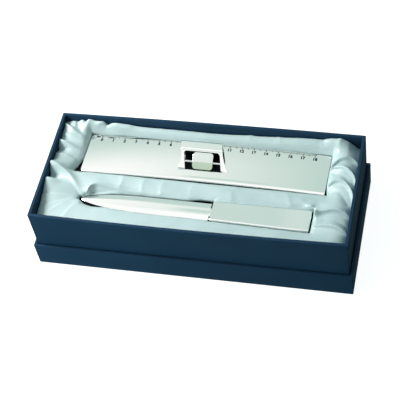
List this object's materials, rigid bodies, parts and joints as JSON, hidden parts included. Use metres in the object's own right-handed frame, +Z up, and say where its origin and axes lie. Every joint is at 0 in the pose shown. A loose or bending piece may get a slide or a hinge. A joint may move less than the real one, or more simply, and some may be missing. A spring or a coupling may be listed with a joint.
{
  "type": "boxed desk set",
  "caption": "Arched silver ruler with a buckled grip, and a letter opener, in a satin-lined navy gift box standing in its upturned lid.",
  "frame": {"origin": "middle of the upturned lid's underside, on the surface that it stands on", "axes": "+X along the box, +Y to its back, where the ruler lies, +Z up"},
  "size_m": [0.2594, 0.1138, 0.0608],
  "materials": {
    "navy_paper": "fine-grained covering paper",
    "grey_board": "raw greyboard",
    "white_card": "smooth card",
    "charcoal_foam": "soft foam",
    "ice_satin": "satin weave",
    "polished_silver": "mirror polish",
    "cast_filler": "cast"
  },
  "bodies": {
    "lid": {"lid_top_paper": "navy_paper", "lid_panel": "grey_board", "lid_wall_front": "grey_board", "lid_wall_back": "grey_board", "lid_wall_left": "grey_board", "lid_wall_right": "grey_board", "lid_side_paper": "navy_paper", "lid_liner": "navy_paper"},
    "tray": {"tray_base_paper": "navy_paper", "tray_floor": "grey_board", "tray_wall_front": "grey_board", "tray_wall_back": "grey_board", "tray_wall_left": "grey_board", "tray_wall_right": "grey_board", "tray_wrap": "navy_paper"},
    "insert": {"insert_deck": "white_card", "insert_leg_front": "white_card", "insert_leg_back": "white_card", "insert_leg_left": "white_card", "insert_leg_right": "white_card", "foam_pad": "charcoal_foam", "satin_lining": "ice_satin"},
    "ruler": {"ruler_plate": "polished_silver", "ruler_grip": "polished_silver", "buckle_pin": "polished_silver"},
    "buckle": {"grip_buckle": "polished_silver"},
    "opener": {"opener_blade": "polished_silver", "opener_handle_top": "polished_silver", "opener_handle_bottom": "polished_silver", "opener_filler": "cast_filler"}
  },
  "joints": [
    {"name": "tray_lift", "type": "slide", "parent": "lid", "child": "tray", "axis": [0, 0, 1], "range_m": [0, 0.08]},
    {"name": "insert_lift", "type": "slide", "parent": "tray", "child": "insert", "axis": [0, 0, 1], "range_m": [0, 0.07]},
    {"name": "ruler_lift", "type": "slide", "parent": "insert", "child": "ruler", "axis": [0, 0, 1], "range_m": [0, 0.06]},
    {"name": "buckle_swing", "type": "hinge", "parent": "ruler", "child": "buckle", "pos_m": [-0.00046, 0.01895, 0.05376], "axis": [0.9999, -0.0148, 0], "range_deg": [-35, 3]},
    {"name": "opener_lift", "type": "slide", "parent": "insert", "child": "opener", "axis": [0, 0, 1], "range_m": [0, 0.06]}
  ]
}
